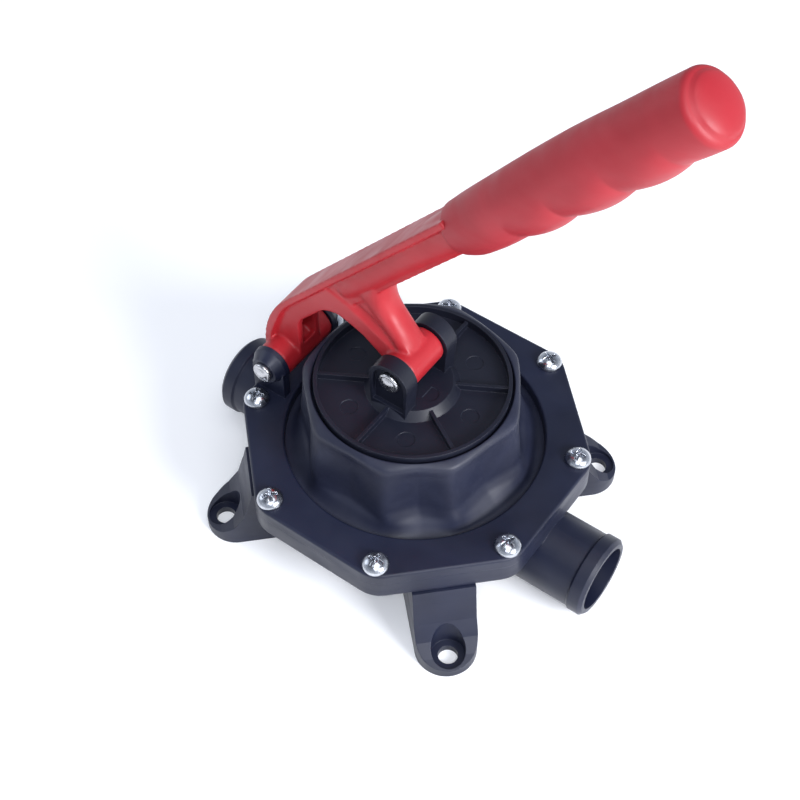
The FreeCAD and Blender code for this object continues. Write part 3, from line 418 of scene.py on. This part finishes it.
def stem_core():
    """The round core of the arm, swelling from the yoke leg into the grip."""
    stations = (62, 72, 84, 110, 140, 160)              # mm from the fulcrum, along the handle
    half_width = smoothed(stations, (7.0, 7.9, 8.3, 8.4, 8.9, 9.7))
    half_height = smoothed(stations, (5.6, 7.2, 7.9, 7.8, 8.4, 9.3))
    rings = []
    for at in np.linspace(60.5, 160, 60):
        squash = min(1.0, math.sqrt(max(0.02, (at - 60.2) / 7)))     # rounds the core's free end
        section = rounded(half_width(at) * squash * MM, half_height(at) * squash * MM)
        rings.append(handle_ring(at * MM, section, 48))
    return make_piece("stem_core", *loft(rings))


def leg_rib():
    """The round rib down the yoke leg, from the arm to the yoke barrel."""
    # above the fulcrum, middle along the arm, half length along the arm, half width
    rows = ((8, 83.0, 11.5, 7.6), (4, 81.0, 9.0, 7.3), (0, 79.0, 6.9, 7.0), (-5, 77.6, 5.4, 6.8),
            (-12, 76.4, 4.7, 6.8), (-19, 74.8, 4.6, 7.0), (-25, 72.6, 4.8, 7.4), (-29, 70.5, 4.6, 7.6))
    above = [row[0] for row in rows]
    order = sorted(range(len(rows)), key=lambda k: above[k])
    middle, length, width = (smoothed([above[k] for k in order], [rows[k][column] for k in order])
                             for column in (1, 2, 3))
    count = 40
    rings = []
    for height in np.linspace(rows[0][0], rows[-1][0], count):
        section = rounded(width(height), length(height), 2.3)
        rings.append([lever_point(middle(height) + math.cos(turn) * section(turn), height,
                                  math.sin(turn) * section(turn))
                      for turn in (math.tau * k / count for k in range(count))])
    return make_piece("leg_rib", *loft(rings))


def groove_wall():
    """The slanted wall of the groove beside the rib: a hull from the panel's edge to the crease."""
    builder = bmesh.new()
    for along, above, half in ((64.6, 8.0, 7.4), (71.2, -22, 7.4), (71.5, 3.0, 3.8), (75.5, -20.5, 3.8),
                               (63.0, 8.0, 7.4), (68.0, -24, 7.4)):
        for side in (-1, 1):
            builder.verts.new(lever_point(along, above, side * half))
    bmesh.ops.convex_hull(builder, input=builder.verts)
    mesh = bpy.data.meshes.new("groove_wall")
    builder.to_mesh(mesh)
    builder.free()
    return mesh


def lever_arm():
    """The lever as one soft-edged moulding round its CAD solid."""
    core, rib = stem_core(), leg_rib()
    parts = [NODES["lever"].data, core.data, rib.data, groove_wall()]
    piece = fused("lever_arm", parts, voxel=0.6 * MM, passes=8)
    for helper in (core, rib):
        bpy.data.objects.remove(helper)
    finish_piece(piece, LEVER_RED, "lever")
    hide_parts("lever")


GRIP_START, GRIP_END = 152.0, 291.6     # mm from the fulcrum, along the handle
FINGER_NOTCHES = (154.0, 185.5, 211.8, 241.8, 269.0, 299.0)
FINGER_SWELL = (0.5, 1.9, 2.2, 1.9, 0.6)


def finger_swell(at):
    """How far the underside stands out between two finger notches, in mm."""
    for start, end, swell in zip(FINGER_NOTCHES, FINGER_NOTCHES[1:], FINGER_SWELL):
        if start <= at < end:
            share = (at - start) / (end - start)
            return swell * math.sin(math.pi * share ** 1.15) ** 0.75
    return 0.0


def grip_sleeve():
    """Hand grip: fuller on top of the palm, four finger notches below, and a domed butt."""
    crown = smoothed((152, 166, 180, 194, 208, 232, 254, 275, 284),
                     (10.9, 11.9, 12.5, 13.1, 13.6, 14.0, 13.6, 13.4, 13.2))
    below = smoothed((152, 158, 166, 186, 212, 242, 269, 284),
                     (11.2, 12.9, 13.3, 13.4, 13.5, 13.7, 13.5, 13.6))
    cheek = smoothed((152, 166, 186, 212, 242, 269, 284), (10.8, 12.0, 12.7, 13.2, 13.4, 13.2, 13.1))
    wall = 285.0                                        # where the side turns into the butt
    rings = []
    count = 128

    def ring_at(at, inset=0.0, scale=1.0):
        held = min(at, wall)

        def section(turn):
            up, down = max(0.0, math.cos(turn)) ** 2, max(0.0, -math.cos(turn)) ** 2
            radius = cheek(held) * (1 - up - down) + crown(held) * up + below(held) * down
            fingers = smoothstep(-math.cos(turn), -0.15, 0.75)
            return ((radius + finger_swell(held) * fingers) * scale - inset) * MM
        return handle_ring(at * MM, section, count)

    for station, inset in ((0.0, 1.6), (0.05, 1.1), (0.35, 0.5), (0.8, 0.15), (1.4, 0.0)):
        rings.append(ring_at(GRIP_START + station, inset))
    rings += [ring_at(at) for at in np.linspace(GRIP_START + 2.4, wall, 150)]
    shoulder, last_turn = 3.2, 72                       # the rounding of the butt's edge, mm and degrees
    for t in np.radians(np.linspace(10, last_turn, 9)):
        rings.append(ring_at(wall + shoulder * math.sin(t), shoulder * (1 - math.cos(t))))
    edge_at = wall + shoulder * math.sin(math.radians(last_turn))
    edge_inset = shoulder * (1 - math.cos(math.radians(last_turn)))
    for share in np.linspace(0.94, 0.04, 16):
        dome = math.sqrt(max(0.0, 1 - share ** 2)) * (GRIP_END - edge_at)
        rings.append(ring_at(edge_at + dome, edge_inset * share, share))
    piece = make_piece("grip_sleeve", *loft(rings))
    finish_piece(piece, GRIP_RED, "lever")
    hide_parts("grip")


# ---------------------------------------------------------------- fasteners

SCREW_COUNT = 8
FIRST_SCREW = math.radians(22.5)        # the others follow every eighth of a turn
SCREW_EDGE = 0.9 * MM                   # upright edge of the head, under its dome
RECESS_DEPTH = 2.6 * MM


def flange_screw_set():
    """Eight pan heads with a cross recess, each turned its own way."""
    low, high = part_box("flange_screws")
    head, rise, shank = 6.0 * MM, 4.4 * MM, 3.0 * MM
    seat = high.z - rise
    circle = (high.x - head) / math.cos(FIRST_SCREW)
    twists = (12, 64, 33, 80, 21, 50, 5, 71)            # how far each recess is turned, degrees
    points, faces = [], []
    for k, twist in enumerate(twists):
        azimuth = FIRST_SCREW + math.tau * k / SCREW_COUNT
        base = Vector((circle * math.cos(azimuth), circle * math.sin(azimuth), 0))
        rings = []
        for z, radius in ((low.z, shank - 0.6 * MM), (low.z + 0.8 * MM, shank), (seat, shank), (seat, head * 0.97),
                          (seat + 0.35 * MM, head), (seat + SCREW_EDGE, head)):
            rings.append(screw_ring(base, z, radius, 0, 0))
        for share in np.linspace(0.985, 0.02, 38):
            dome = seat + SCREW_EDGE + (rise - SCREW_EDGE) * (1 - share ** 2.3) ** 0.62
            rings.append(screw_ring(base, dome, head * share, RECESS_DEPTH, math.radians(twist)))
        more_points, more_faces = loft(rings)
        offset = len(points)
        points += more_points
        faces += [tuple(index + offset for index in face) for face in more_faces]
    piece = make_piece("flange_screw_set", points, faces)
    finish_piece(piece, ZINC, "housing")
    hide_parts("flange_screws")


def screw_ring(base, z, radius, depth, twist, count=132):
    """A ring of a screw's skin, sunk where the cross recess is."""
    ring = []
    for k in range(count):
        turn = math.tau * k / count
        x, y = radius * math.cos(turn), radius * math.sin(turn)
        u = abs(x * math.cos(twist) + y * math.sin(twist)) / MM
        v = abs(-x * math.sin(twist) + y * math.cos(twist)) / MM
        arm = max((1 - smoothstep(a, 0.5, 0.75)) * (1 - smoothstep(b, 2.8, 3.5)) for a, b in ((u, v), (v, u)))
        well = 1 - smoothstep(math.hypot(u, v), 0.9, 1.5)
        ring.append(base + Vector((x, y, z - depth * max(arm, well))))
    return ring


def pin_piece(name, node, middle, body):
    """Steel pin: a domed head with a raised rim on the near side, and a clip groove at its far end."""
    low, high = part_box(node)
    radius, head_rise, chamfer = 3.5 * MM, 3.3 * MM, 0.6 * MM
    groove_start, groove_end, groove_depth = 2.0 * MM, 3.1 * MM, 0.8 * MM
    far = high.y - middle.y
    under = middle.y - low.y - head_rise
    profile = [(-far, 0.4 * MM), (-far, radius - chamfer), (-far + chamfer, radius), (-far + groove_start, radius),
               (-far + groove_start, radius - groove_depth), (-far + groove_end, radius - groove_depth),
               (-far + groove_end, radius), (under, radius)]
    # the head's section, in mm: out from under the head, and from the pin's axis
    head_rows = [(0.0, 3.6), (0.0, 4.7), *arc((0.3, 4.7), 0.3, 180, 90, 5), (1.0, 5.0),
                 *arc((1.0, 3.9), 1.1, 90, 12, 10), (2.12, 3.75), (2.10, 3.55)]
    profile += [(under + height * MM, row * MM) for height, row in head_rows]
    for share in np.linspace(0.98, 0.04, 20):
        profile.append((under + (2.12 + 1.12 * (1 - share ** 2)) * MM, radius * share))
    piece = make_piece(name, *turned(profile, middle, -ACROSS, ALONG))
    finish_piece(piece, STEEL, body)
    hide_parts(node)


# ---------------------------------------------------------------- stage

def stage_and_camera():
    """White floor, a pale cove of light, four soft lamps and the camera."""
    reach = 6.0
    floor = make_piece("floor", [(-reach, -reach, 0), (reach, -reach, 0), (reach, reach, 0), (-reach, reach, 0)],
                       [(0, 1, 2, 3)])
    paper = Finish("backdrop_paper", Specular_IOR_Level=0.1)
    tone = paper.shades(paper.spread(paper.noise(3, 2.0), 0, 1), (0.86, 0.86, 0.86), (0.88, 0.88, 0.88))
    paper.shader.inputs["Roughness"].default_value = 0.9
    paper.shader.inputs["Emission Color"].default_value = (0.96, 0.98, 1.0, 1)
    paper.shader.inputs["Emission Strength"].default_value = 0.16
    floor.data.materials.append(paper.done(tone))

    world = bpy.data.worlds.new("studio")
    bpy.context.scene.world = world
    world.use_nodes = True
    nodes, links = world.node_tree.nodes, world.node_tree.links
    # bright round the horizon, dim overhead, as in a white cove
    direction = nodes.new("ShaderNodeTexCoord").outputs["Generated"]
    parts = nodes.new("ShaderNodeSeparateXYZ")
    links.new(direction, parts.inputs[0])
    ramp = nodes.new("ShaderNodeValToRGB")
    stops = ramp.color_ramp.elements
    stops[0].position, stops[0].color = 0.0, (0.90, 0.94, 1.0, 1)
    stops[1].position, stops[1].color = 0.85, (0.13, 0.15, 0.19, 1)
    middle = stops.new(0.38)
    middle.color = (0.74, 0.80, 0.92, 1)
    links.new(parts.outputs["Z"], ramp.inputs["Fac"])
    links.new(ramp.outputs["Color"], nodes["Background"].inputs["Color"])
    nodes["Background"].inputs["Strength"].default_value = 0.75

    aim = Vector((0, 0, 0.06))
    for name, place, size, power, colour in (
            ("key", (1.30, -0.20, 0.75), 0.6, 27.0, (0.95, 0.96, 1.0)),
            ("near", (0.52, -0.72, 1.22), 0.40, 8.0, (0.88, 0.91, 1.0)),
            ("left", (-1.20, -0.30, 0.80), 0.8, 3.0, (0.84, 0.89, 1.0)),
            ("top", (0.30, -0.10, 1.80), 1.3, 11.0, (0.92, 0.95, 1.0))):
        data = bpy.data.lights.new(name, "AREA")
        data.shape = "DISK"
        data.size = size
        data.energy = power
        data.color = colour
        light = bpy.data.objects.new(name, data)
        light.location = place
        light.rotation_euler = (aim - Vector(place)).to_track_quat("-Z", "Y").to_euler()
        bpy.context.scene.collection.objects.link(light)

    lens = bpy.data.cameras.new("camera")
    lens.lens = 66.97
    lens.sensor_width = 36.0
    camera = bpy.data.objects.new("camera", lens)
    right = Vector((0.81182, 0.58391, 0.00172))
    up = Vector((-0.45685, 0.63333, 0.62464))
    turn = Matrix((right, up, right.cross(up))).transposed()
    camera.matrix_world = Matrix.Translation((0.23538, -0.34043, 0.59035)) @ turn.to_4x4()
    bpy.context.scene.collection.objects.link(camera)
    bpy.context.scene.camera = camera
    bpy.context.scene.view_settings.view_transform = "Standard"


# ---------------------------------------------------------------- everything

CAD_FINISHES = {
    "pump_body": HOUSING, "clamp_ring": HOUSING, "top_plate": PLATE, "clamp_plate": PLATE, "plate_screws": ZINC,
    "fulcrum_clip": STEEL, "yoke_clip": STEEL}
for port in ("inlet", "outlet"):
    CAD_FINISHES.update({
        port + "_seat": ACETAL, port + "_seat_seal": VALVE_RUBBER, port + "_flap": VALVE_RUBBER,
        port + "_flap_bar": ACETAL, port + "_bar_screws": STEEL})

for node, material in CAD_FINISHES.items():
    NODES[node].data.materials.clear()
    NODES[node].data.materials.append(material)

stage_and_camera()
diaphragm_skin()
lever_arm()
grip_sleeve()
flange_screw_set()
pin_piece("fulcrum_pin_steel", "fulcrum_pin", FULCRUM, "housing")
pin_piece("yoke_pin_steel", "yoke_pin", YOKE, "plate")
